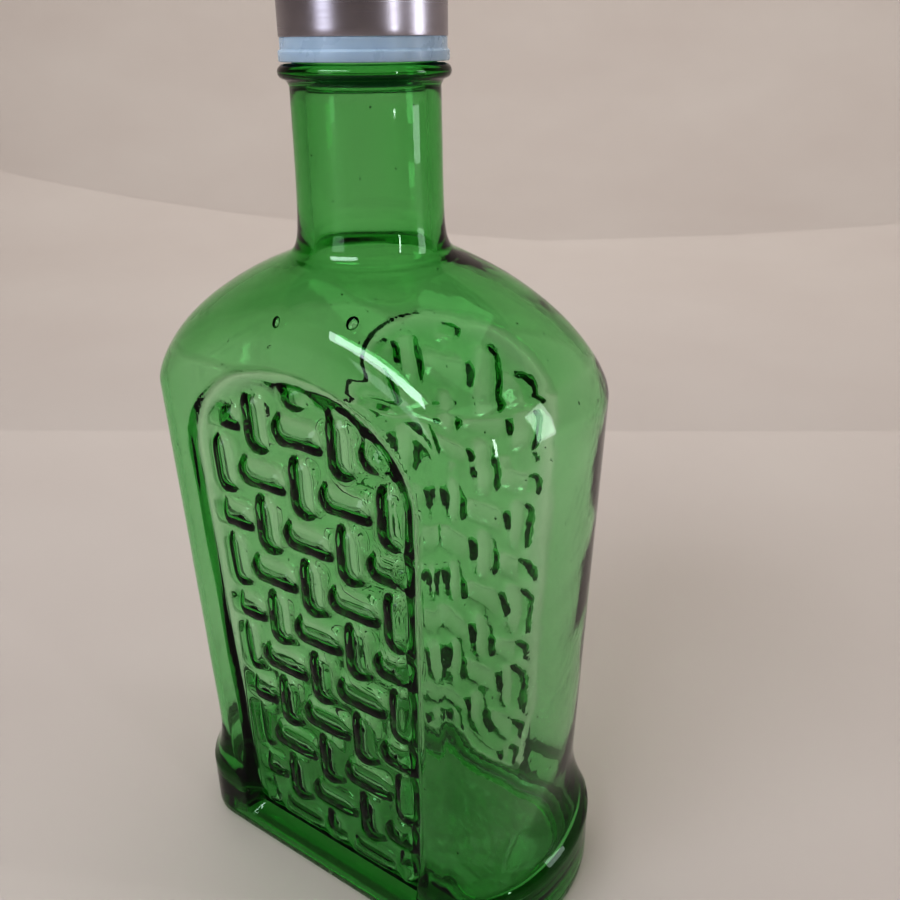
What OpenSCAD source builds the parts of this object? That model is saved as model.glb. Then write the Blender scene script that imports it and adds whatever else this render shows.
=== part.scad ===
// Rectangular household bottle in green glass for oil or water.
// Both broad faces carry an arched, recessed panel of basket weave.
// A screw cap closes it: a threaded plastic insert in a drawn steel shell, with a loose seal disc.
// Origin: centre of the foot, on the surface it stands on. +Z up, +X along the broad faces,
// -Y towards the front face.

/* [Body] */
// Height at which the neck rises from the shoulder
neck_foot_z = 205; // [170:1:250]
// Height at which the shoulder starts to curve in
shoulder_z = 165; // [140:1:180]
// Length of the body at the shoulder
shoulder_len = 131.4; // [110:0.2:160]
// Depth of the body at the shoulder
shoulder_depth = 75; // [62:0.2:92]
// Length of the body at its waist, just over the foot
waist_len = 123.6; // [103:0.2:150]
// Depth of the body at its waist
waist_depth = 67.8; // [56:0.2:82]
// How far the rounded ends stand out past the flat faces, at the waist
end_crown = 15.3; // [10:0.1:20]
// Thickness of the side walls
wall = 3.5; // [2.5:0.1:5]
// Thickness of the glass over the push-up
floor_t = 4.5; // [3:0.1:8]

/* [Foot] */
// Length of the foot
foot_len = 138.6; // [124:0.2:166]
// Depth of the foot
foot_depth = 74; // [68:0.2:90]
// Height of the upright part of the foot
foot_h = 21; // [14:0.5:28]
// Height over which the foot draws in to the waist
flare_h = 21; // [12:0.5:30]
// Rounding of the heel
heel = 2.5; // [1:0.1:4]
// Width of the ring the bottle stands on
bearing_w = 5; // [3:0.1:8]
// Width of the slope between that ring and the push-up
push_up_slope = 6; // [4:0.5:9]
// Height of the push-up under the base
push_up = 3; // [1.5:0.1:5]

/* [Weave panel] */
// Distance from the body's end to the panel's edge
panel_margin = 24; // [20:0.2:32]
// Height of the panel's lower edge
panel_z0 = 8; // [6:0.5:14]
// Height at which the arch springs
arch_z = 147; // [120:1:160]
// Rise of the arch
arch_rise = 32; // [20:1:36]
// Depth of the panel below the face
panel_recess = 1.8; // [1:0.1:2.4]
// Width of the step from the face down to the panel
edge_w = 1.2; // [0.8:0.1:2]
// Height from the panel's lower edge to the middle of the first row of strands
first_row = 6.4; // [5:0.1:8]
// Distance between the weave's columns
weave_x = 15.2; // [12:0.1:20]
// Distance between the weave's rows
weave_z = 16.2; // [12:0.1:20]
// Length of one strand of the weave
strand_len = 18; // [14:0.1:19]
// Width of one strand of the weave
strand_w = 7.4; // [5:0.1:9]
// Height of one strand over the panel
strand_h = 1.4; // [0.8:0.1:2]
// Size of a strand's crest as a share of its foot
strand_crest = 0.76; // [0.5:0.02:0.9]

/* [Neck and finish] */
// Outer diameter of the neck
neck_d = 38; // [32:0.2:46]
// Thickness of the neck's wall
neck_wall = 3.8; // [2.8:0.1:4.4]
// Radius of the fillet between the shoulder and the neck
neck_fillet = 6; // [3:0.5:9]
// How far the fillet's lower end is sunk into the shoulder
fillet_sink = 3; // [2:0.5:4]
// Bevel at the mouth
lip_bevel = 0.8; // [0.4:0.1:1.2]
// Length of the plain neck, up to the bead
neck_len = 40.2; // [30:0.2:55]
// How far the bead stands out from the neck
bead_out = 2.7; // [1.5:0.1:3.5]
// Height of the bead
bead_h = 4.2; // [3:0.1:6]
// Height of the threaded finish over the bead
finish_h = 23.6; // [20:0.2:30]
// How far the finish steps in from the neck
finish_step = 1.4; // [1:0.1:2]

/* [Thread] */
// Rise of the thread in one turn
pitch = 4; // [3:0.1:5]
// Height of the glass thread over the finish
thread_h = 1.2; // [0.8:0.05:1.4]
// Turns of thread on the glass
glass_turns = 2; // [1:0.25:2.5]
// Turns of thread in the cap
cap_turns = 1.5; // [1:0.25:2]
// Height from the bead to the start of the glass thread
thread_z = 6.6; // [5.5:0.1:7.5]
// Radial clearance between the two threads
thread_clear = 0.3; // [0.2:0.05:0.5]
// Width of a thread at its foot
thread_foot = 2.5; // [2:0.1:2.8]
// Width of a thread at its crest
thread_crest = 0.9; // [0.6:0.1:1.4]

/* [Cap] */
// Gap between the bead and the closed cap
cap_gap = 0.4; // [0.2:0.1:1]
// Thickness of the insert's wall outside its thread
insert_wall = 1.3; // [1:0.05:2]
// Thickness of the insert's top
insert_top = 1.8; // [1.2:0.1:3]
// How far the flange stands out from the collar
flange_out = 0.55; // [0.2:0.05:1]
// Height of the flange
flange_h = 2.6; // [1.5:0.1:4]
// Step from the collar in to the wall under the steel
collar_step = 0.3; // [0.2:0.05:0.5]
// Height of the collar that shows below the steel
collar_h = 5.5; // [4:0.1:8]
// Thickness of the steel shell
skin = 0.45; // [0.3:0.05:0.8]
// Gap between the insert and the steel
skin_gap = 0.05; // [0.02:0.01:0.1]
// Outer radius of the rolled top edge
roll_r = 2.4; // [1.5:0.1:3]
// Rise of the pressed ring on the top
top_dish = 0.6; // [0.3:0.1:1]
// Thickness of the seal disc
seal_t = 1.5; // [1:0.1:2.5]
// Gap around the edge of the seal disc
seal_side_gap = 0.4; // [0.2:0.1:0.8]
// Gap above and below the seal disc
seal_gap = 0.05; // [0.02:0.01:0.1]

/* [Hidden] */
$fn = 96;

// Curve exponents: the foot's flare, and the shoulder's outline at the ends and at the faces
foot_curve = 2.2;
end_curve = 1.8;
face_curve = 3.2;
// The body's hollow stops this far below the neck's foot, where the neck's bore takes over
hollow_drop = 2.5;
// A panel and its step are never wider than these shares of the flat face, as it narrows upwards
panel_share = 0.9;
edge_share = 0.08;
// Points round each end of a ring, steps in a turn of thread, and how far a thread is sunk
end_steps = 12;
thread_seg = 32;
thread_sink = 0.5;
// Solids that are joined or cut reach this far past each other
lap = 1;

neck_r = neck_d / 2;
bore_r = neck_r - neck_wall;
finish_r = neck_r - finish_step;
bead_z = neck_foot_z + neck_len;
finish_z = bead_z + bead_h;
lip_z = finish_z + finish_h;
flat_half = waist_len / 2 - end_crown;
flare_z = foot_h + flare_h;
arch_top = arch_z + arch_rise;
hollow_top = neck_foot_z - hollow_drop;

cap_z = finish_z + cap_gap;
shell_z = cap_z + collar_h;
seal_z = lip_z + seal_gap;
ceiling_z = seal_z + seal_t + seal_gap;
insert_top_z = ceiling_z + insert_top;
insert_bore_r = finish_r + thread_h + thread_clear;
insert_r = insert_bore_r + insert_wall;
shell_in_r = insert_r + skin_gap;
shell_r = shell_in_r + skin;
shell_top_z = insert_top_z + skin_gap + skin;
collar_r = insert_r + collar_step;
seal_r = insert_bore_r - seal_side_gap;

// How much of the body's taper is reached at height z, 0 at the waist and 1 at the shoulder
function rise(z) = (z - flare_z) / (shoulder_z - flare_z);
function straight(z, low, high) = low + (high - low) * rise(z);
// Share of the foot that is left at height z: 1 up to foot_h and 0 from the waist up
function foot_share(z) =
    z <= foot_h ? 1 :
    z >= flare_z ? 0 : pow(1 - (z - foot_h) / flare_h, foot_curve);
// Share of the shoulder that is left at height z: 1 below it and 0 at the neck
function shoulder_s(z) = max(0, (z - shoulder_z) / (neck_foot_z - shoulder_z));
function end_share(z) = 1 - pow(shoulder_s(z), end_curve);
function face_share(z) = 1 - pow(shoulder_s(z), face_curve);
// Half length and half depth of the outside at height z
function body_len(z) = straight(min(z, shoulder_z), waist_len, shoulder_len) / 2;
function body_depth(z) = straight(min(z, shoulder_z), waist_depth, shoulder_depth) / 2;
function half_len(z) =
    let (plain = neck_r + (body_len(z) - neck_r) * end_share(z))
    plain + (foot_len / 2 - plain) * foot_share(z);
function half_depth(z) =
    let (plain = neck_r + (body_depth(z) - neck_r) * face_share(z))
    plain + (foot_depth / 2 - plain) * foot_share(z);
function flat_at(z) = max(1, flat_half * end_share(z));
// Half width of the panel at height z, and the plane it lies in
function arch_w(z) =
    z <= arch_z ? body_len(z) - panel_margin :
    (body_len(arch_z) - panel_margin) * sqrt(max(0, 1 - pow((z - arch_z) / arch_rise, 2)));
function panel_w(z) = max(edge_w, arch_w(z));
function panel_y(z) = straight(z, waist_depth, shoulder_depth) / 2 - panel_recess;
function in_panel(z) = z > panel_z0 && z < arch_top - 0.01;

// One half of a ring: the face from left to right, then the rounded end back to the middle.
// grow moves the whole outline in or out, and recess cuts the panel into the face.
function face_points(z, grow, recess) =
    let (c = flat_at(z), w = min(panel_w(z), panel_share * c),
         edge = min(edge_w / 2, edge_share * c),
         y = half_depth(z) + grow, inner = recess ? min(y, panel_y(z)) : y)
    [[-c, y], [-w - edge, y], [-w + edge, inner], [0, inner],
     [w - edge, inner], [w + edge, y], [c, y]];
function end_points(z, grow) =
    let (c = flat_at(z), e = half_len(z) + grow - c, y = half_depth(z) + grow)
    [for (i = [1:end_steps - 1])
        let (a = 90 - 180 * i / end_steps) [c + e * cos(a), y * sin(a)]];
// The whole ring runs clockwise seen from above: front is -Y
function ring(z, grow, recess) =
    let (face = face_points(z, grow, recess), end = end_points(z, grow))
    concat(
        [for (p = face) [-p[0], -p[1]]],
        [for (p = end) [-p[0], -p[1]]],
        face,
        end);
function lifted(outline, z) = [for (p = outline) [p[0], p[1], z]];

// A closed skin through rings of equal length, listed from the bottom up
module skin_of(rings) {
    n = len(rings[0]);
    last = len(rings) - 1;
    points = [for (r = rings) each r];
    sides = [for (k = [0:last - 1]) for (i = [0:n - 1])
        let (a = k * n + i, b = k * n + (i + 1) % n)
        each [[a, b, b + n], [a, b + n, a + n]]];
    bottom = [for (i = [1:n - 2]) [0, i + 1, i]];
    top = [for (i = [1:n - 2]) [last * n, last * n + i, last * n + i + 1]];
    polyhedron(points = points, faces = concat(bottom, sides, top), convexity = 8);
}

// Heights of the outer rings from the heel up
function steps(from, to, count) = [for (i = [0:count - 1]) from + (to - from) * i / count];
outer_z = concat(
    [heel, panel_z0 - edge_w / 2, panel_z0 + edge_w / 2],
    steps(foot_h - 4, flare_z, 8),
    steps(flare_z, arch_z, 5),
    [for (a = [0:10:80]) arch_z + arch_rise * sin(a)],
    [arch_top + edge_w / 2],
    steps(arch_top + 4, neck_foot_z, 6),
    [neck_foot_z]);

// The outside of the glass below the neck, with its push-up and both panels
module moulding() {
    under = [
        lifted(ring(0, -heel - bearing_w - push_up_slope, false), push_up),
        lifted(ring(0, -heel - bearing_w - push_up_slope / 3, false), push_up * 0.7),
        lifted(ring(0, -heel - bearing_w, false), 0),
        lifted(ring(0, -heel, false), 0),
        lifted(ring(0, -heel * 0.3, false), heel * 0.3)];
    shell = [for (z = outer_z) lifted(ring(z, 0, in_panel(z)), z)];
    skin_of(concat(under, shell));
}

// One strand: a low pad with round ends, drawn along X and standing up along Z
module strand() {
    r = strand_w / 2;
    reach = strand_len / 2 - r;
    outline = concat(
        [for (a = [-90:36:90]) [reach + r * cos(a), r * sin(a)]],
        [for (a = [90:36:270]) [-reach + r * cos(a), r * sin(a)]]);
    translate([0, 0, -lap])
        linear_extrude(height = strand_h + lap, scale = strand_crest, slices = 1) polygon(outline);
}

// Strands of one panel, upright and level in turn
module weave() {
    lean = atan((shoulder_depth - waist_depth) / 2 / (shoulder_z - flare_z));
    cols = floor((body_len(arch_z) - panel_margin - strand_w / 2) / weave_x);
    rows = floor((arch_top - panel_z0) / weave_z);
    for (i = [-cols:cols]) for (k = [0:rows - 1]) {
        x = i * weave_x;
        z = panel_z0 + first_row + k * weave_z;
        upright = (i + cols + k) % 2 == 0;
        across = upright ? strand_w / 2 : strand_len / 2;
        // A level strand that meets the panel's edge is cut short there
        room = min(across, arch_w(z + (upright ? strand_len : strand_w) / 2) - abs(x));
        if (room > (upright ? across - 0.1 : 0))
            translate([x - sign(x) * (across - room) / 2, -panel_y(z), z])
                rotate([90 + lean, 0, 0])
                    scale([(across + room) / (2 * across), 1, 1])
                        rotate([0, 0, upright ? 90 : 0]) strand();
    }
}

// The hollow of the body, up to the neck
module hollow() {
    low = push_up + floor_t;
    inner_heel = 5;
    heights = concat([low], steps(low + inner_heel, shoulder_z, 7),
        steps(shoulder_z, hollow_top, 9), [hollow_top]);
    // The wall is half as thick again at the foot, and thicker still round the floor
    function wall_at(z) = wall * (z == low ? 2.5 : 1 + 0.5 * foot_share(z));
    // The shoulder's rings are taken from higher on the outside, so that it keeps its thickness
    skin_of([for (z = heights)
        lifted(ring(z + hollow_drop * shoulder_s(z), -wall_at(z), false), z)]);
}

// Outside of the neck, the bead and the finish, as one turned outline
module neck_solid() {
    fillet_z = neck_foot_z - fillet_sink;
    root_z = hollow_top + 0.1;
    // The fillet is an arc that starts 30 degrees up, under the shoulder's skin
    rotate_extrude()
        polygon(concat(
            [[0, root_z], [neck_r + neck_fillet * 0.4, root_z]],
            [for (a = [30:15:90])
                [neck_r + neck_fillet - neck_fillet * sin(a), fillet_z + neck_fillet - neck_fillet * cos(a)]],
            [[neck_r, bead_z], [neck_r + bead_out * 0.75, bead_z + bead_h * 0.35],
             [neck_r + bead_out, bead_z + bead_h * 0.55], [neck_r + bead_out, bead_z + bead_h * 0.72],
             [neck_r + bead_out * 0.7, bead_z + bead_h],
             [finish_r, finish_z], [finish_r, lip_z - lip_bevel], [finish_r - lip_bevel, lip_z],
             [0, lip_z]]));
}

// A helical ridge on a cylinder. side is 1 for an outer thread and -1 for an inner one.
module ridge(root_r, height, turns, z0, side) {
    count = floor(turns * thread_seg);
    function fade(i) = min(1, min(i, count - i) / 3 + 0.05);
    points = [for (i = [0:count])
        let (a = 360 * i / thread_seg, z = z0 + pitch * i / thread_seg,
             low = root_r - side * thread_sink, high = root_r + side * height * fade(i))
        each [for (q = [[low, -thread_foot], [low, thread_foot],
                        [high, thread_crest], [high, -thread_crest]])
            [q[0] * cos(a), q[0] * sin(a), z + q[1] / 2]]];
    sides = [for (i = [0:count - 1]) for (j = [0:3])
        let (a = 4 * i + j, b = 4 * i + (j + 1) % 4)
        each (side > 0 ? [[a, b + 4, b], [a, a + 4, b + 4]] : [[a, b, b + 4], [a, b + 4, a + 4]])];
    first = side > 0 ? [[0, 1, 2], [0, 2, 3]] : [[0, 2, 1], [0, 3, 2]];
    n = 4 * count;
    last = side > 0 ? [[n, n + 2, n + 1], [n, n + 3, n + 2]] : [[n, n + 1, n + 2], [n, n + 2, n + 3]];
    polyhedron(points = points, faces = concat(first, sides, last), convexity = 6);
}

// The blown body: moulding and weave less the hollow, kept at its stated overall size
module body() {
    resize([max(foot_len, shoulder_len), max(foot_depth, shoulder_depth), neck_foot_z])
        difference() {
            union() {
                moulding();
                weave();
                rotate([0, 0, 180]) weave();
            }
            hollow();
            // Opens the top; the bore cut in glass_bottle() is wider and leaves no trace of it
            translate([0, 0, hollow_top - lap]) cylinder(r = bore_r - 0.5, h = 10, $fn = 24);
        }
}

module glass_bottle() {
    color([0.22, 0.55, 0.24, 0.55])
        difference() {
            union() {
                body();
                neck_solid();
                ridge(finish_r, thread_h, glass_turns, finish_z + thread_z, 1);
            }
            translate([0, 0, hollow_top - lap])
                cylinder(r = bore_r, h = lip_z - hollow_top + 2 * lap);
        }
}

module seal_disc() {
    color([0.92, 0.92, 0.9]) translate([0, 0, seal_z]) cylinder(r = seal_r, h = seal_t);
}

module cap_insert() {
    color([0.86, 0.91, 0.92])
        union() {
            difference() {
                rotate_extrude()
                    polygon([[0, cap_z], [collar_r + flange_out, cap_z],
                        [collar_r + flange_out, cap_z + flange_h], [collar_r, cap_z + flange_h],
                        [collar_r, shell_z], [insert_r, shell_z],
                        [insert_r, insert_top_z - roll_r], [insert_r - roll_r, insert_top_z],
                        [0, insert_top_z]]);
                translate([0, 0, cap_z - lap])
                    cylinder(r = insert_bore_r, h = ceiling_z - cap_z + lap);
            }
            ridge(insert_bore_r, thread_h, cap_turns, finish_z + thread_z - pitch / 2, -1);
        }
}

// Profile of the steel from its lower edge up and over to the middle, moved in by t
function steel_line(t) = concat(
    [[shell_r - t, shell_z]],
    [for (a = [0:15:90])
        [shell_r - roll_r + (roll_r - t) * cos(a), shell_top_z - roll_r + (roll_r - t) * sin(a)]],
    [[shell_r - 2 * roll_r, shell_top_z - t], [shell_r - 2 * roll_r - 1, shell_top_z + top_dish - t],
     [0, shell_top_z + top_dish - t]]);

module cap_shell() {
    inside = steel_line(skin);
    color([0.72, 0.72, 0.76])
        rotate_extrude()
            polygon(concat(steel_line(0), [for (i = [len(inside) - 1:-1:0]) inside[i]]));
}

glass_bottle();
seal_disc();
cap_insert();
cap_shell();
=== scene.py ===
import math

import bpy
import numpy as np
from mathutils import Matrix, Vector


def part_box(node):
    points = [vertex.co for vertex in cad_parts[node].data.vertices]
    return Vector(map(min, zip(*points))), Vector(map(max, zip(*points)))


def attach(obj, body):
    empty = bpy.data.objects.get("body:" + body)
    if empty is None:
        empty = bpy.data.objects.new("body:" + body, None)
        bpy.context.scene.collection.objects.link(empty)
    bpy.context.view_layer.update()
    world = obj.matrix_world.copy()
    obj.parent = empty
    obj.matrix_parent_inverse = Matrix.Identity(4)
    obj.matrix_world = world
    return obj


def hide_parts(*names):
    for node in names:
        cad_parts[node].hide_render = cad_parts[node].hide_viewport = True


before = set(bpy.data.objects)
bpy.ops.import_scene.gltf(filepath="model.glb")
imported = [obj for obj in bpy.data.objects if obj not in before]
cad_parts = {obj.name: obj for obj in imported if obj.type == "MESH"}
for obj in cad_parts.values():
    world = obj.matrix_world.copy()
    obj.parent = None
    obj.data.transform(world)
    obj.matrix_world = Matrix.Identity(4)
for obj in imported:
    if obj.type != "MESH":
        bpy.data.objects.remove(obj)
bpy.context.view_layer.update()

MM = 0.001


# ------------------------------------------------------------------------------------------------
# Glass bottle: soda-lime glass tinted green, blown in a two-part mould. The mould leaves an arched
# panel of basket weave on each broad face, a round neck, a bead and a threaded finish. The glass
# is thick in the heel and the corners, and its inside is wavy because only air shaped it.

lip_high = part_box("glass_bottle")[1]
lip_z = lip_high.z
shoulder_half_depth = lip_high.y
foot_half_len = lip_high.x
foot_half_depth = shoulder_half_depth - 0.5 * MM
shoulder_half_len = foot_half_len - 3.6 * MM
waist_half_len = foot_half_len - 7.5 * MM
waist_half_depth = foot_half_depth - 3.1 * MM
flat_half = 46.5 * MM  # half the length of the flat part of a broad face
foot_top_z = 21 * MM
waist_z = 42 * MM
shoulder_z = 165 * MM
arch_top_z = 205.6 * MM  # where the shoulder's arch would close if there were no neck
ARCH_POWER = 1.7  # roundness of the arch: 2 is an ellipse, less is more pointed
wall = 2.6 * MM
END_WALL = 0.75  # the ends stretch furthest as the glass is blown: their wall is this share of it
FOOT_GAIN = 1.3  # glass gathers where the mould is widest, so the wall grows by this share of itself
SHOULDER_GAIN = 0.45  # and by this one where the shoulder closes
FOOT_CURVE = 2.2  # how late the side turns out into the foot: 1 is a straight slope
floor_t = 5 * MM
heel_r = 2.5 * MM
bearing_w = 5 * MM
push_up = 3 * MM
inner_heel_r = 9 * MM

neck_r = 19 * MM
bore_r = 15.2 * MM
finish_r = 17.6 * MM
finish_z = lip_z - 23.6 * MM
bead_h = 4.2 * MM
bead_out = 2.7 * MM
bead_z = finish_z - bead_h
neck_fillet = 7 * MM
fillet_growth_h = 20 * MM  # height over which the fillet comes in above the shoulder
NECK_PULL = 2.2  # how fast the arch gives way to the neck above the height where they meet
plain_neck_z = 212 * MM  # from here up the neck is straight

thread_pitch = 4 * MM
thread_h = 1.2 * MM
thread_half_w = 1.3 * MM
thread_flank = 0.85 * MM  # how far each side of the ridge slopes
RUN_OUT = 0.09  # the share of a turn in which each end of the thread fades
thread_z = finish_z + 6.6 * MM  # the middle of the thread where it starts
thread_turns = 2.0

FACE_COLUMNS = 76  # points along one broad face
END_COLUMNS = 32  # points round one end
FACE_TURN = math.radians(45)  # half the angle of the neck that a broad face grows into


def smooth(t):
    """0 up to t = 0 and 1 from t = 1, with no corner between."""
    t = np.clip(t, 0, 1)
    return t * t * (3 - 2 * t)


def rise(z):
    """How much of the body's taper is reached at height z: 0 at the waist, 1 from the shoulder up."""
    return (min(z, shoulder_z) - waist_z) / (shoulder_z - waist_z)


def foot_share(z):
    """How far the outline stands out into the foot at height z."""
    return float(np.clip((waist_z - z) / (waist_z - foot_top_z), 0, 1)) ** FOOT_CURVE


def half_ring():
    """Points of the front face and the right end.

    Each has a place on the face, an angle round the end and an angle round the neck."""
    face = np.linspace(-1, 1, FACE_COLUMNS, endpoint=False)
    end = np.linspace(-math.pi / 2, math.pi / 2, END_COLUMNS, endpoint=False)
    on_face = np.concatenate([face, np.ones(END_COLUMNS)])
    on_end = np.concatenate([np.full(FACE_COLUMNS, -math.pi / 2), end])
    side_turn = math.pi / 2 - FACE_TURN
    turn = np.concatenate([face * FACE_TURN - math.pi / 2, end * side_turn / (math.pi / 2)])
    return on_face, on_end, turn


ON_FACE, ON_END, TURN = half_ring()


def thread_ridge(turn, z, start_z, turns):
    """Height, from 0 to 1, of a right-hand helical ridge at an angle and a height."""
    part = (turn / (2 * math.pi)) % 1.0
    count = np.round((z - start_z) / thread_pitch - part) + part
    off = np.abs(z - start_z - count * thread_pitch)
    run_out = np.clip(np.minimum(count, turns - count) / RUN_OUT, 0, 1)
    return smooth((thread_half_w - off) / thread_flank) * run_out


def section(z, inset, end_share=1.0):
    """Half of the plain body's outline at height z, inset from the outside, with its roll and depth.

    The broad face is flat up to a roll that follows the sides and the arch of the shoulder."""
    half_len = waist_half_len + (shoulder_half_len - waist_half_len) * rise(z)
    half_len += (foot_half_len - half_len) * foot_share(z) - inset * end_share
    depth = waist_half_depth + (shoulder_half_depth - waist_half_depth) * rise(z)
    depth += (foot_half_depth - depth) * foot_share(z) - inset
    roll = max(half_len - flat_half, 2 * MM)
    arch_h = arch_top_z - inset - shoulder_z
    s = min(max(0.0, z - shoulder_z) / arch_h, 0.999)
    left = (1 - s ** ARCH_POWER) ** (1 / ARCH_POWER)
    x = left * (ON_FACE * flat_half + roll * np.cos(ON_END))
    part = np.maximum(np.abs(x), 0.01 * MM) / half_len
    reach = (part ** ARCH_POWER + s ** ARCH_POWER) ** (1 / ARCH_POWER)
    steep = np.hypot((part / reach) ** (ARCH_POWER - 1) / half_len, (s / reach) ** (ARCH_POWER - 1) / arch_h)
    rest = np.clip(1 - (1 - reach) / steep / roll, 0, 1)
    return x, np.sign(ON_END) * depth * np.sqrt(1 - rest ** 2), roll, depth


def ring(z, inset, round_r, threaded=False, end_share=1.0):
    """One ring of the glass at height z. inset draws the body in; round_r is the neck's radius there."""
    _, _, roll, depth = section(shoulder_z, inset, end_share)
    join_z = arch_top_z - inset - roll * (1 - math.sqrt(1 - min(1, round_r / depth) ** 2))
    x, y, _, _ = section(min(z, join_z), inset, end_share)
    # The neck grows out of the arch with a fillet, and the points turn to even steps round it
    out = np.hypot(x, y) - round_r - NECK_PULL * max(0.0, z - join_z)
    fillet = neck_fillet * smooth((z - shoulder_z) / fillet_growth_h)
    radius = round_r + 0.5 * (out + np.hypot(out, fillet)) if z > shoulder_z else round_r + out
    turn = np.arctan2(y, x)
    turn = np.where(turn > math.pi * 0.75, turn - 2 * math.pi, turn)
    turn = TURN + (turn - TURN) * smooth((join_z + 2 * MM - z) / (22 * MM))
    points = []
    for half in (0, 1):
        swell = thread_h * thread_ridge(turn + half * math.pi, z, thread_z, thread_turns) if threaded else 0
        sign = 1 - 2 * half
        points.append(np.stack([
            sign * (radius + swell) * np.cos(turn),
            sign * (radius + swell) * np.sin(turn),
            np.full(turn.shape, z)], axis=1))
    return np.concatenate(points)


def inner_wall(z):
    """Thickness of the glass on a broad face at height z, below the shoulder."""
    return wall * (1 + FOOT_GAIN * foot_share(z))


def shrunk(outline, share, z):
    """A ring drawn in towards the middle, for the floor."""
    points = outline * share
    points[:, 2] = z
    return points


def glass_rings():
    """All rings from the middle of the underside, up the outside, over the lip and down the inside.

    Each comes with how much of the mould's relief it takes, and whether it belongs to the inside."""
    rings = []
    under = ring(0, heel_r + bearing_w + 2 * MM, neck_r)
    for share in (0.15, 0.4, 0.65, 0.85):
        rings.append((shrunk(under, share, push_up * (1 + 0.5 * (1 - share ** 2))), 0, 0))
    rings.append((ring(0, heel_r + bearing_w + 2 * MM, neck_r) + [0, 0, 0.8 * push_up], 0, 0))
    rings.append((ring(0, heel_r + bearing_w, neck_r) + [0, 0, 0.1 * push_up], 0, 0))
    for inset in (heel_r + 0.8 * bearing_w, heel_r + 0.2 * bearing_w):
        rings.append((ring(0, inset, neck_r), 0, 0))
    for a in np.radians([0, 18, 36, 54, 72, 90]):
        points = ring(0, heel_r * (1 - math.sin(a)), neck_r)
        points[:, 2] = heel_r * (1 - math.cos(a))
        rings.append((points, 1, 0))
    wall_z = np.concatenate([
        np.linspace(heel_r, 180 * MM, 160)[1:],
        np.linspace(180 * MM, plain_neck_z, 26)[1:],
        np.linspace(plain_neck_z, bead_z - 1 * MM, 8)[1:],
    ])
    rings += [(ring(z, 0, neck_r), 1, 0) for z in wall_z]
    # The bead is a round ring on a short slope, and the finish stands inside it
    for a in np.radians([-80, -60, -40, -20, 0, 20, 40, 60, 80]):
        z = bead_z + bead_h * (0.55 + 0.45 * math.sin(a))
        rings.append((ring(z, 0, neck_r + bead_out * math.cos(a) ** 0.7), 1, 0))
    rings.append((ring(finish_z, 0, finish_r + 0.4 * MM), 1, 0))
    lip_r = (finish_r - bore_r) / 2
    for z in np.linspace(finish_z + 0.4 * MM, lip_z - lip_r, 46):
        rings.append((ring(z, 0, finish_r, threaded=True), 1, 0))
    for a in np.radians([25, 50, 75, 105, 130, 155]):
        rings.append((ring(lip_z - lip_r + lip_r * math.sin(a), 0, bore_r + lip_r * (1 + math.cos(a))), 1, 0))
    # Down the inside: the bore, the shoulder, the walls and a broad round into the domed floor
    floor_z = push_up + floor_t
    for z in np.linspace(lip_z - lip_r, plain_neck_z, 16):
        rings.append((ring(z, 0, bore_r), 1, 1))
    for z in np.linspace(209 * MM, 176 * MM, 22):
        thick = wall * (1 + SHOULDER_GAIN * smooth((z - shoulder_z) / (22 * MM)))
        rings.append((ring(z, thick, bore_r, end_share=END_WALL), 1, 1))
    for z in np.linspace(175 * MM, floor_z + inner_heel_r, 100):
        rings.append((ring(z, inner_wall(z), bore_r, end_share=END_WALL), 1, 1))
    for a in np.radians([12, 24, 36, 48, 60, 72, 84]):
        z = floor_z + inner_heel_r * (1 - math.sin(a))
        inset = inner_wall(z) + inner_heel_r * (1 - math.cos(a))
        points = ring(z, inset, bore_r, end_share=END_WALL)
        rings.append((points, 1 - math.sin(a), 1))
    edge = rings[-1][0]
    for share in (0.9, 0.7, 0.5, 0.3, 0.12):
        rings.append((shrunk(edge, share, floor_z + 0.8 * push_up * (1 - share ** 2)), 0, 1))
    return rings


def closed_skin(name, rings, tags):
    """A mesh through rings of equal length, closed to a point at both ends.

    Each tag becomes an attribute with one value for each ring."""
    count = len(rings[0])
    poles = [rings[0].mean(axis=0), rings[-1].mean(axis=0)]
    points = np.concatenate(rings + [np.array(poles)])
    around = np.arange(count)
    after = (around + 1) % count
    faces = []
    for k in range(len(rings) - 1):
        below, above = k * count, (k + 1) * count
        faces += np.stack([below + around, below + after, above + after, above + around], axis=1).tolist()
    first, last = len(points) - 2, len(points) - 1
    top = (len(rings) - 1) * count
    faces += [[int(b), int(a), first] for a, b in zip(around, after)]
    faces += [[int(top + a), int(top + b), last] for a, b in zip(around, after)]
    mesh = bpy.data.meshes.new(name)
    mesh.from_pydata(points.tolist(), [], faces)
    mesh.shade_smooth()
    for tag, values in tags.items():
        spread = np.concatenate([np.repeat(values, count), [values[0], values[-1]]]).astype(np.float32)
        mesh.attributes.new(tag, "FLOAT", "POINT").data.foreach_set("value", spread)
    piece = bpy.data.objects.new(name, mesh)
    bpy.context.scene.collection.objects.link(piece)
    return piece


def add_node(tree, kind, sockets=None, **settings):
    """Adds a node. settings are its properties; sockets are its inputs, as values or as outputs to link."""
    node = tree.nodes.new(kind)
    for key, value in settings.items():
        setattr(node, key, value)
    for key, value in (sockets or {}).items():
        if isinstance(value, bpy.types.NodeSocket):
            tree.links.new(value, node.inputs[key])
        else:
            node.inputs[key].default_value = value
    return node


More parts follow.
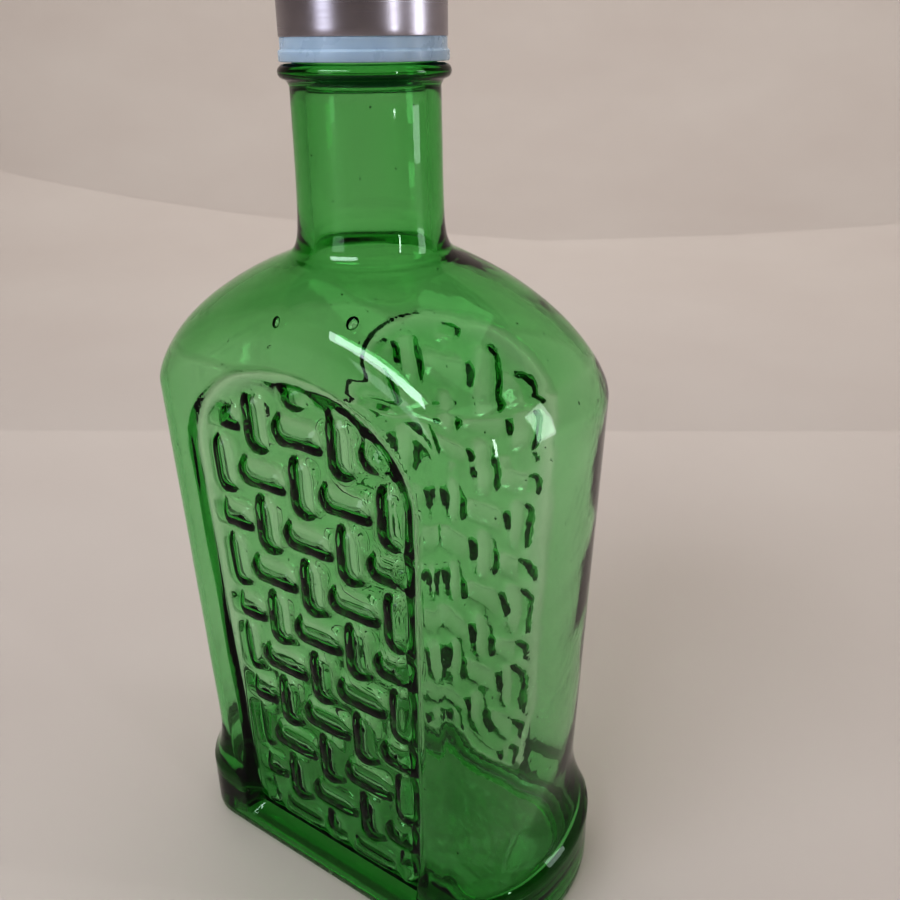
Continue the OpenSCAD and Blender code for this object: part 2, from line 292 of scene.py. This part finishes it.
class Field:
    """A number at every point of a tree. Arithmetic on it adds Math nodes, so a rule reads as a formula."""

    def __init__(self, tree, socket):
        self.tree = tree
        self.socket = socket

    def math(self, operation, *others):
        inputs = [self] + list(others)
        sockets = {i: v.socket if isinstance(v, Field) else v for i, v in enumerate(inputs)}
        node = add_node(self.tree, "ShaderNodeMath", sockets, operation=operation)
        return Field(self.tree, node.outputs[0])

    def __add__(self, other):
        return self.math("ADD", other)

    def __sub__(self, other):
        return self.math("SUBTRACT", other)

    def __mul__(self, other):
        return self.math("MULTIPLY", other)

    def __truediv__(self, other):
        return self.math("DIVIDE", other)

    def __abs__(self):
        return self.math("ABSOLUTE")

    def hypot(self, other):
        return (self * self + other * other).math("SQRT")

    def eased(self):
        """0 below 0, 1 above 1, with no corner between."""
        t = self.math("MAXIMUM", 0.0).math("MINIMUM", 1.0)
        return t * t * (t * -2.0 + 3.0)


def new_tree(name, inputs):
    """An empty geometry tree with named inputs. Returns it and its input node."""
    tree = bpy.data.node_groups.new(name, "GeometryNodeTree")
    tree.interface.new_socket("Geometry", in_out="INPUT", socket_type="NodeSocketGeometry")
    for key, value in inputs.items():
        if isinstance(value, bpy.types.Material):
            tree.interface.new_socket(key, in_out="INPUT", socket_type="NodeSocketMaterial")
        else:
            tree.interface.new_socket(key, in_out="INPUT", socket_type="NodeSocketFloat")
    tree.interface.new_socket("Geometry", in_out="OUTPUT", socket_type="NodeSocketGeometry")
    return tree, tree.nodes.new("NodeGroupInput")


def applied(piece, tree, inputs):
    """Runs a tree on a piece with these inputs and leaves a plain mesh."""
    modifier = piece.modifiers.new(tree.name, "NODES")
    modifier.node_group = tree
    for item in tree.interface.items_tree:
        if item.item_type == "SOCKET" and item.in_out == "INPUT" and item.name in inputs:
            modifier[item.identifier] = inputs[item.name]
    bpy.context.view_layer.update()
    seen = piece.evaluated_get(bpy.context.evaluated_depsgraph_get())
    mesh = bpy.data.meshes.new_from_object(seen)
    piece.modifiers.clear()
    old = piece.data
    piece.data = mesh
    bpy.data.meshes.remove(old)
    mesh.name = piece.name


def linear(hex_colour):
    """A linear colour with alpha from an sRGB hex value."""
    parts = [int(hex_colour[i:i + 2], 16) / 255 for i in (1, 3, 5)]
    return [p / 12.92 if p <= 0.04045 else ((p + 0.055) / 1.055) ** 2.4 for p in parts] + [1.0]


def new_material(name):
    """A material with a Principled shader. Returns it, its tree and the shader."""
    material = bpy.data.materials.new(name)
    material.use_nodes = True
    tree = material.node_tree
    return material, tree, tree.nodes["Principled BSDF"]


# Green soda-lime glass: clear and sharp, darkening fast with thickness, with faint ripples from the
# mould and a thin film of handling marks that blurs a few highlights.
glass, glass_tree, glass_shader = new_material("green_blown_glass")
glass_shader.inputs["Base Color"].default_value = linear("#FFFFFF")
glass_shader.inputs["Transmission Weight"].default_value = 1.0
glass_shader.inputs["IOR"].default_value = 1.52
glass_place = add_node(glass_tree, "ShaderNodeTexCoord").outputs["Object"]
ripple_mm = 5.0
ripples = add_node(glass_tree, "ShaderNodeTexNoise", {
    "Vector": glass_place, "Scale": 1 / (ripple_mm * MM), "Detail": 2.0, "Roughness": 0.45})
ripple_bump = add_node(glass_tree, "ShaderNodeBump", {
    "Strength": 0.25, "Distance": 0.12 * MM, "Height": ripples.outputs[0]})
glass_tree.links.new(ripple_bump.outputs[0], glass_shader.inputs["Normal"])
smear_mm = 18.0
smears = add_node(glass_tree, "ShaderNodeTexNoise", {
    "Vector": glass_place, "Scale": 1 / (smear_mm * MM), "Detail": 5.0, "Roughness": 0.6})
smear_rough = add_node(glass_tree, "ShaderNodeMapRange", {
    "Value": smears.outputs[0], "From Min": 0.5, "From Max": 0.8, "To Min": 0.0, "To Max": 0.05})
glass_tree.links.new(smear_rough.outputs[0], glass_shader.inputs["Roughness"])
tint = add_node(glass_tree, "ShaderNodeVolumeAbsorption", {
    "Color": (0.10, 0.765, 0.17, 1.0), "Density": 198.0})
glass_tree.links.new(tint.outputs[0], glass_tree.nodes["Material Output"].inputs["Volume"])


OUTER_CREST = 0.7  # a strand's profile outside: 1 is a parabola, less is flatter on top
INNER_CREST = 1.3  # and inside the glass, where it is more pointed
corner_round = 4 * MM  # how softly the panel's foot meets its sides
weave_fade = 1.6 * MM  # the width in which strands rise beside the panel's edge
SEED_DEPTH = 0.45  # how far into the wall seeds lie, as a share of it

# Two large flat blisters in the front of the shoulder: centre, direction outward and half length, in mm
blisters = [
    ((-2.1, -36.4, 191.2), (-0.03, -0.90, 0.43), 1.5),
    ((19.1, -31.8, 193.5), (0.23, -0.61, 0.76), 2.0)]
blister_depth_mm = 1.2
blister_half_thickness = 0.55 * MM
BLISTER_WIDTH = 0.8  # width over length

relief_inputs = {
    "Face half length": waist_half_len,
    "Length gained by the shoulder": shoulder_half_len - waist_half_len,
    "Face half depth": waist_half_depth,
    "Depth gained by the shoulder": shoulder_half_depth - waist_half_depth,
    "Waist height": waist_z,
    "Taper height": shoulder_z - waist_z,
    "Panel margin": 24 * MM,
    "Panel foot": 7.5 * MM,
    "Arch spring": 147 * MM,
    "Arch rise": 32 * MM,
    "Recess": 2.0 * MM,
    "Rim width": 1.6 * MM,
    "Inner rim width": 11.0 * MM,
    "Column spacing": 15.2 * MM,
    "Row spacing": 16.2 * MM,
    "First row": 14.4 * MM,
    "Strand half length": 9.2 * MM,
    "Strand half width": 4.1 * MM,
    "Strand height": 1.6 * MM,
    "Strand clearance": 4.4 * MM,
    "Inner strand clearance": 7.5 * MM,
    "Inner softening": 1.2 * MM,
    "Inner strand share": 1.9,
    "Inner strand shift": 1.0 * MM,
    "Wall": 3.6 * MM,
    "Outer wave": 0.25 * MM,
    "Inner wave": 0.7 * MM,
    "Wave length": 26 * MM,
    "Seeds": 2600.0,
    "Glass": glass,
}


def relief_tree():
    """The mould's work on the blank: arched panels, weave, waves and the seeds caught in the glass."""
    tree, given = new_tree("moulded_relief", relief_inputs)

    def value(name):
        return Field(tree, given.outputs[name])

    def attribute(name):
        node = add_node(tree, "GeometryNodeInputNamedAttribute", {"Name": name}, data_type="FLOAT")
        return Field(tree, node.outputs["Attribute"])

    place = add_node(tree, "GeometryNodeInputPosition").outputs[0]
    split = add_node(tree, "ShaderNodeSeparateXYZ", {0: place})
    x, y, z = [Field(tree, socket) for socket in split.outputs]
    inner = attribute("inner")
    relief = attribute("relief")
    side = y.math("SIGN")

    # Distance inside the arched outline: to the sides, round the arch, and up from the foot
    spring = value("Arch spring")
    taper = (z.math("MINIMUM", spring) - value("Waist height")) / value("Taper height")
    half_w = value("Face half length") + value("Length gained by the shoulder") * taper
    half_w = half_w - value("Panel margin")
    across = abs(x).math("MAXIMUM", 1e-5)
    over = (z - spring).math("MAXIMUM", 0.0)
    far = across.hypot(over)
    share = (across / half_w).hypot(over / value("Arch rise"))
    inside = (far / share - far).math("SMOOTH_MIN", z - value("Panel foot"), corner_round)
    rim_w = value("Rim width") + inner * (value("Inner rim width") - value("Rim width"))
    rim = (inside / rim_w).eased()

    # The panel lies on the plain taper of the face, so it is cut deeper into the foot
    plain = (z - value("Waist height")) / value("Taper height")
    panel = value("Face half depth") + value("Depth gained by the shoulder") * plain
    panel = panel - value("Recess") - inner * value("Wall")

    # Weave: upright strands in every other cell of a column, level ones in the cells between.
    # The back is the front turned half a turn round the bottle, so x changes sign with the side.
    col_step = value("Column spacing")
    row_step = value("Row spacing")
    sag = inner * value("Inner strand shift")
    run = x * side * -1.0 - sag
    up = z - value("First row") - sag
    column = (run / col_step).math("ROUND")
    row = (up / row_step).math("ROUND")
    soft = inner * value("Inner softening")
    half_wide = value("Strand half width") + soft

    def strand(across_strand, along_strand):
        straight = value("Strand half length") - value("Strand half width")
        past = (abs(along_strand) - straight).math("MAXIMUM", 0.0)
        edge = across_strand.hypot(past) / half_wide
        body = (edge * edge * -1.0 + 1.0).math("MAXIMUM", 0.0)
        return body.math("POWER", inner * (INNER_CREST - OUTER_CREST) + OUTER_CREST)

    upright = strand(
        run - column * col_step,
        (up - column * row_step).math("WRAP", row_step, row_step * -1.0))
    level = strand(
        up - row * row_step,
        (run - (row + 1.0) * col_step).math("WRAP", col_step, col_step * -1.0))
    clearance = value("Strand clearance")
    clearance = clearance + inner * (value("Inner strand clearance") - clearance)
    clear = ((inside - clearance) / weave_fade).eased()
    strand_h = value("Strand height") * (inner * (value("Inner strand share") - 1.0) + 1.0)
    weave = upright.math("MAXIMUM", level) * clear * strand_h

    depth = abs(y)
    moulded = depth + ((panel - depth) * rim + weave) * relief
    new_place = add_node(tree, "ShaderNodeCombineXYZ", {
        "X": x.socket, "Y": (moulded * side).socket, "Z": z.socket})

    # Waves in the glass, none where the bottle stands
    wave = add_node(tree, "ShaderNodeTexNoise", {
        "Vector": add_node(tree, "ShaderNodeVectorMath", {
            0: place,
            1: add_node(tree, "ShaderNodeCombineXYZ", {2: (inner * 0.3).socket}).outputs[0]}).outputs[0],
        "Scale": (value("Wave length").math("POWER", -1.0)).socket,
        "Detail": 1.0})
    size = value("Outer wave") + inner * (value("Inner wave") - value("Outer wave"))
    lift = (Field(tree, wave.outputs[0]) - 0.5) * size
    above_foot = ((z - 6 * MM) / (12 * MM)).eased()
    under_bead = ((z * -1.0 + (bead_z - 2 * MM)) / (15 * MM)).eased()
    lift = lift * above_foot * under_bead
    normal = add_node(tree, "GeometryNodeInputNormal").outputs[0]
    push = add_node(tree, "ShaderNodeVectorMath", {0: normal, "Scale": lift.socket}, operation="SCALE")
    moved = add_node(tree, "GeometryNodeSetPosition", {
        "Geometry": given.outputs["Geometry"], "Position": new_place.outputs[0], "Offset": push.outputs[0]})

    # Seeds: small drawn-out bubbles halfway through the wall, their faces turned into the hollow
    above_heel = ((z - 30 * MM) / (10 * MM)).eased()
    below_bead = ((z * -1.0 + bead_z) / (5 * MM)).eased()
    on_wall = (inner * -1.0 + 1.0) * above_heel * below_bead
    spots = add_node(tree, "GeometryNodeDistributePointsOnFaces", {
        "Mesh": moved.outputs[0], "Density": (value("Seeds") * on_wall).socket, "Seed": 7})
    sunk = add_node(tree, "ShaderNodeVectorMath", {
        0: spots.outputs["Normal"], "Scale": (value("Wall") * -SEED_DEPTH).socket}, operation="SCALE")
    placed = add_node(tree, "GeometryNodeSetPosition", {
        "Geometry": spots.outputs["Points"], "Offset": sunk.outputs[0]})
    bubble = add_node(tree, "GeometryNodeMeshIcoSphere", {"Radius": 1.0, "Subdivisions": 2})
    smooth_bubble = add_node(tree, "GeometryNodeSetShadeSmooth", {0: bubble.outputs["Mesh"]})
    turned = add_node(tree, "GeometryNodeFlipFaces", {0: smooth_bubble.outputs[0]})
    girth = add_node(tree, "FunctionNodeRandomValue", {
        "Min": (0.10 * MM, 0.10 * MM, 0.12 * MM), "Max": (0.34 * MM, 0.34 * MM, 0.55 * MM), "Seed": 3},
        data_type="FLOAT_VECTOR")
    seeds = add_node(tree, "GeometryNodeInstanceOnPoints", {
        "Points": placed.outputs[0], "Instance": turned.outputs[0], "Scale": girth.outputs[0]})
    joined = add_node(tree, "GeometryNodeJoinGeometry", {0: moved.outputs[0]})
    tree.links.new(seeds.outputs[0], joined.inputs[0])

    # Each blister lies flat along the wall, inside the glass
    for centre, outward, length in blisters:
        lie = Vector(outward).to_track_quat("Z", "Y").to_euler()
        blister = add_node(tree, "GeometryNodeTransform", {
            "Geometry": turned.outputs[0],
            "Translation": (Vector(centre) - Vector(outward).normalized() * blister_depth_mm) * MM,
            "Rotation": lie,
            "Scale": (length * BLISTER_WIDTH * MM, length * MM, blister_half_thickness)})
        tree.links.new(blister.outputs[0], joined.inputs[0])
    real = add_node(tree, "GeometryNodeRealizeInstances", {0: joined.outputs[0]})
    painted = add_node(tree, "GeometryNodeSetMaterial", {
        "Geometry": real.outputs[0], "Material": given.outputs["Glass"]})
    add_node(tree, "NodeGroupOutput", {0: painted.outputs[0]})
    return tree


skin = glass_rings()
bottle = closed_skin("blown_bottle", [points for points, _, _ in skin], {
    "relief": [share for _, share, _ in skin], "inner": [side for _, _, side in skin]})
applied(bottle, relief_tree(), relief_inputs)
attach(bottle, "bottle")
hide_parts("glass_bottle")


# ------------------------------------------------------------------------------------------------
# Seal disc: a punched disc of closed-cell polyethylene foam that lies loose in the cap and is
# pressed on the lip. White, matt and slightly grainy.

foam, foam_tree, foam_shader = new_material("polyethylene_foam")
foam_shader.inputs["Base Color"].default_value = linear("#E6E4DC")
foam_shader.inputs["Roughness"].default_value = 0.7
foam_place = add_node(foam_tree, "ShaderNodeTexCoord").outputs["Object"]
cell_mm = 0.35
cells = add_node(foam_tree, "ShaderNodeTexVoronoi", {"Vector": foam_place, "Scale": 1 / (cell_mm * MM)})
foam_bump = add_node(foam_tree, "ShaderNodeBump", {
    "Strength": 0.4, "Distance": 0.05 * MM, "Height": cells.outputs["Distance"]})
foam_tree.links.new(foam_bump.outputs[0], foam_shader.inputs["Normal"])
foam_tint = add_node(foam_tree, "ShaderNodeMixRGB", {
    "Fac": cells.outputs["Distance"], "Color1": linear("#EFEDE6"), "Color2": linear("#D5D2C8")})
foam_tree.links.new(foam_tint.outputs[0], foam_shader.inputs["Base Color"])


def repaint(node, material):
    """Gives a CAD piece another material."""
    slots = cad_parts[node].material_slots
    for held in slots:
        held.material = material
    if not slots:
        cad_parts[node].data.materials.append(material)


repaint("seal_disc", foam)


# ------------------------------------------------------------------------------------------------
# Cap insert: injection-moulded polypropylene in its natural milky white. It carries the thread, and
# its collar and wider flange show below the steel, with light passing into them.

seal_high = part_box("seal_disc")[1].z
insert_low, insert_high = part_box("cap_insert")
flange_r = insert_high.x
collar_r = flange_r - 0.55 * MM
insert_r = collar_r - 0.3 * MM
insert_bore_r = finish_r + thread_h + 0.3 * MM
flange_h = 2.6 * MM
shell_low, shell_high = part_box("cap_shell")
TURNED_COLUMNS = 144


def arc(centre_r, centre_z, radius, start, stop, count):
    """Points (radius, height) along an arc. start and stop are in degrees."""
    return [(centre_r + radius * math.cos(a), centre_z + radius * math.sin(a))
            for a in np.radians(np.linspace(start, stop, count))]


def turned(name, outline, material, thread_side=0, start_z=0.0, turns=0.0, thread_root=0.0):
    """A piece turned from an outline that starts and ends on the axis, with a thread on one radius."""
    angles = np.arange(TURNED_COLUMNS) * 2 * math.pi / TURNED_COLUMNS
    rings = []
    for r, z in outline:
        radius = np.full(angles.shape, float(r))
        if thread_side and abs(r - thread_root) < 0.01 * MM:
            radius += thread_side * thread_h * thread_ridge(angles, z, start_z, turns)
        rings.append(np.stack([
            radius * np.cos(angles), radius * np.sin(angles), np.full(radius.shape, z)], axis=1))
    piece = closed_skin(name, rings, {})
    piece.data.materials.append(material)
    return piece


polypropylene, pp_tree, pp_shader = new_material("natural_polypropylene")
pp_shader.inputs["Base Color"].default_value = linear("#D3DEE2")
pp_shader.inputs["IOR"].default_value = 1.49
pp_shader.inputs["Subsurface Weight"].default_value = 0.5
pp_shader.inputs["Subsurface Radius"].default_value = (1.0, 1.1, 1.3)
pp_shader.inputs["Subsurface Scale"].default_value = 2.0 * MM
pp_place = add_node(pp_tree, "ShaderNodeTexCoord").outputs["Object"]
flow_mm = 6.0
flow = add_node(pp_tree, "ShaderNodeTexNoise", {
    "Vector": pp_place, "Scale": 1 / (flow_mm * MM), "Detail": 4.0, "Roughness": 0.5})
pp_rough = add_node(pp_tree, "ShaderNodeMapRange", {
    "Value": flow.outputs[0], "From Min": 0.3, "From Max": 0.7, "To Min": 0.22, "To Max": 0.38})
pp_tree.links.new(pp_rough.outputs[0], pp_shader.inputs["Roughness"])
pp_tint = add_node(pp_tree, "ShaderNodeMixRGB", {
    "Fac": flow.outputs[0], "Color1": linear("#A9BCCD"), "Color2": linear("#BACBD8")})
pp_tree.links.new(pp_tint.outputs[0], pp_shader.inputs["Base Color"])
pp_bump = add_node(pp_tree, "ShaderNodeBump", {
    "Strength": 0.2, "Distance": 0.1 * MM, "Height": flow.outputs[0]})
pp_tree.links.new(pp_bump.outputs[0], pp_shader.inputs["Normal"])

ceiling_z = seal_high + 0.05 * MM
edge = 0.35 * MM
insert_outline = (
    [(0.2 * MM, ceiling_z), (insert_bore_r - 0.6 * MM, ceiling_z)]
    + [(insert_bore_r, z) for z in np.linspace(ceiling_z - 0.3 * MM, insert_low.z + 0.8 * MM, 44)]
    + [(insert_bore_r + edge, insert_low.z), (flange_r - edge, insert_low.z)]
    + arc(flange_r - edge, insert_low.z + edge, edge, -60, 0, 4)
    + arc(flange_r - edge, insert_low.z + flange_h - edge, edge, 0, 80, 5)
    + arc(collar_r + edge, insert_low.z + flange_h + edge * 1.1, edge, 260, 180, 4)
    + [(collar_r, shell_low.z - edge)]
    + arc(collar_r - edge, shell_low.z - edge, edge, 20, 90, 4)
    + [(insert_r - 0.05 * MM, shell_low.z + 0.05 * MM)]
    + [(insert_r - 0.05 * MM, insert_high.z - 2.4 * MM)]
    + arc(insert_r - 2.45 * MM, insert_high.z - 2.4 * MM, 2.3 * MM, 15, 90, 6)
    + [(0.2 * MM, insert_high.z - 0.1 * MM)])
insert = turned("threaded_insert", insert_outline, polypropylene, -1,
                thread_z - thread_pitch / 2, 1.5, insert_bore_r)
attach(insert, "cap")
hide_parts("cap_insert")


# ------------------------------------------------------------------------------------------------
# Cap shell: stainless steel sheet deep-drawn to a cup and pressed over the insert. The draw and a
# light polish run round it, so its highlights are long and upright. Its top has a raised centre.

steel, steel_tree, steel_shader = new_material("drawn_stainless_steel")
steel_shader.inputs["Metallic"].default_value = 1.0
steel_shader.inputs["Anisotropic"].default_value = 0.6
steel_place = add_node(steel_tree, "ShaderNodeTexCoord").outputs["Object"]
line_mm = 0.25
line_map = add_node(steel_tree, "ShaderNodeMapping", {
    "Vector": steel_place, "Scale": (12.0, 12.0, 1 / (line_mm * MM))})
lines = add_node(steel_tree, "ShaderNodeTexNoise", {
    "Vector": line_map.outputs[0], "Scale": 1.0, "Detail": 3.0})
cloud_mm = 9.0
clouds = add_node(steel_tree, "ShaderNodeTexNoise", {
    "Vector": steel_place, "Scale": 1 / (cloud_mm * MM), "Detail": 4.0})
steel_rough = add_node(steel_tree, "ShaderNodeMapRange", {
    "Value": lines.outputs[0], "From Min": 0.3, "From Max": 0.7, "To Min": 0.21, "To Max": 0.28})
steel_tree.links.new(steel_rough.outputs[0], steel_shader.inputs["Roughness"])
steel_tint = add_node(steel_tree, "ShaderNodeMixRGB", {
    "Fac": clouds.outputs[0], "Color1": linear("#A9A6AE"), "Color2": linear("#C3BFC4")})
steel_tree.links.new(steel_tint.outputs[0], steel_shader.inputs["Base Color"])
steel_bump = add_node(steel_tree, "ShaderNodeBump", {
    "Strength": 0.06, "Distance": 0.02 * MM, "Height": lines.outputs[0]})
steel_tree.links.new(steel_bump.outputs[0], steel_shader.inputs["Normal"])

shell_r = shell_high.x
sheet_t = 0.45 * MM
roll_r = 2.4 * MM
raised = 0.6 * MM
rim_z = shell_high.z - raised
hem = sheet_t / 2


def shell_line(inward):
    """The sheet's line from above its lower edge, round the rolled top and in to the axis."""
    return (
        [(shell_r - inward, z) for z in np.linspace(shell_low.z + hem, rim_z - roll_r - 0.3 * MM, 12)]
        + arc(shell_r - roll_r, rim_z - roll_r, roll_r - inward, 5, 90, 12)
        + [(shell_r - 2 * roll_r + 0.4 * MM, rim_z - inward)]
        + [(shell_r - 2 * roll_r - 0.2 * MM - t * 1.0 * MM, rim_z - inward + raised * smooth(t))
           for t in (0.0, 0.25, 0.5, 0.75, 1.0)]
        + [((shell_r - 2 * roll_r - 1.4 * MM) * s, shell_high.z - inward) for s in (0.95, 0.6, 0.3, 0.02)])


shell_outline = (
    shell_line(sheet_t)[::-1]
    + arc(shell_r - hem, shell_low.z + hem, hem, 200, 340, 7)
    + shell_line(0.0))
shell = turned("steel_shell", shell_outline, steel)
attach(shell, "cap")
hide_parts("cap_shell")


# ------------------------------------------------------------------------------------------------
# Studio: a round, pale sweep of board under and around the bottle, with soft light from overhead and
# from windows on several sides. The camera is level with the cap and looks down at the front corner.

board, board_tree, board_shader = new_material("pale_board")
board_shader.inputs["Roughness"].default_value = 0.6
board_place = add_node(board_tree, "ShaderNodeTexCoord").outputs["Object"]
mottle = add_node(board_tree, "ShaderNodeTexNoise", {"Vector": board_place, "Scale": 4.0, "Detail": 3.0})
board_tint = add_node(board_tree, "ShaderNodeMixRGB", {
    "Fac": mottle.outputs[0], "Color1": linear("#B9B0AA"), "Color2": linear("#C2BBB5")})
board_tree.links.new(board_tint.outputs[0], board_shader.inputs["Base Color"])

heading = math.radians(35.1)  # the camera looks this far to the left of straight at the front face
forward = Vector((-math.sin(heading), math.cos(heading), 0))
sweep_hole, sweep_flat, sweep_r, sweep_top = 0.001, 0.9, 1.2, 2.0
sweep_line = [(sweep_hole, 0.0), (sweep_flat, 0.0)]
sweep_line += [(sweep_flat + sweep_r * math.sin(a), sweep_r * (1 - math.cos(a)))
               for a in np.radians(np.linspace(4, 90, 24))]
sweep_line += [(sweep_flat + sweep_r, sweep_top)]
SWEEP_COLUMNS = 96
points = [(out * math.cos(a), out * math.sin(a), up) for out, up in sweep_line
          for a in np.arange(SWEEP_COLUMNS) * 2 * math.pi / SWEEP_COLUMNS]
faces = []
for k in range(len(sweep_line) - 1):
    for i in range(SWEEP_COLUMNS):
        first, after = k * SWEEP_COLUMNS + i, k * SWEEP_COLUMNS + (i + 1) % SWEEP_COLUMNS
        faces.append([first, first + SWEEP_COLUMNS, after + SWEEP_COLUMNS, after])
sweep_mesh = bpy.data.meshes.new("sweep")
sweep_mesh.from_pydata(points, [], faces)
sweep_mesh.shade_smooth()
sweep_mesh.materials.append(board)
sweep = bpy.data.objects.new("sweep", sweep_mesh)
bpy.context.scene.collection.objects.link(sweep)


def soft_light(name, place, target, size, power, colour="#FFFFFF"):
    """A rectangular light aimed at a point."""
    data = bpy.data.lights.new(name, "AREA")
    data.shape = "RECTANGLE"
    data.size, data.size_y = size
    data.energy = power
    data.color = linear(colour)[:3]
    light = bpy.data.objects.new(name, data)
    light.location = place
    light.rotation_euler = (Vector(target) - Vector(place)).to_track_quat("-Z", "Y").to_euler()
    bpy.context.scene.collection.objects.link(light)
    return light


middle = (0, 0, 0.12)
above = (-0.2, 0.3, 1.6)
overhead = soft_light("overhead", above, middle, (1.6, 1.6), 8)
overhead.visible_glossy = False
# A stand-in for the light that clear glass lets through to the board under it: it casts no shadow
through_glass = soft_light("through_glass", above, middle, (1.6, 1.6), 10)
through_glass.visible_glossy = False
through_glass.data.use_shadow = False
window = soft_light("window", (-0.32, -1.48, 0.32), middle, (0.5, 0.8), 2.0, "#EEF2FF")
window.visible_transmission = False
soft_light("ceiling_strip", (-0.10, -0.92, 0.95), (0.02, 0, 0.18), (0.8, 0.28), 4.5, "#EEF4FF")
soft_light("far_window", (1.15, 0.62, 0.35), middle, (0.3, 0.8), 2.0, "#F4F7FF")
side_window = soft_light("side_window", (1.2, -0.2, 0.4), middle, (0.06, 0.5), 0.8, "#F4F7FF")
side_window.visible_transmission = False
wash = soft_light("back_wall_wash", (-0.3, 0.6, 1.6), (-0.8, 1.6, 1.1), (1.8, 0.8), 11)
wash.visible_glossy = False

world = bpy.data.worlds.new("room")
world.use_nodes = True
world.node_tree.nodes["Background"].inputs["Color"].default_value = linear("#E8E6E2")
world.node_tree.nodes["Background"].inputs["Strength"].default_value = 0.1
bpy.context.scene.world = world
bpy.context.scene.view_settings.view_transform = "Standard"
bpy.context.scene.view_settings.look = "Very High Contrast"

lens_data = bpy.data.cameras.new("camera")
lens_data.lens = 36.0
lens_data.sensor_width = 36.0
lens_data.clip_start = 0.01
camera = bpy.data.objects.new("camera", lens_data)
tilt = math.radians(24.6)
lean = math.radians(0.5)
looking = forward * math.cos(tilt) - Vector((0, 0, math.sin(tilt)))
turn = looking.to_track_quat("-Z", "Y").to_matrix() @ Matrix.Rotation(-lean, 3, "Z")
camera.matrix_world = Matrix.Translation((0.1574, -0.1884, 0.2548)) @ turn.to_4x4()
bpy.context.scene.collection.objects.link(camera)
bpy.context.scene.camera = camera
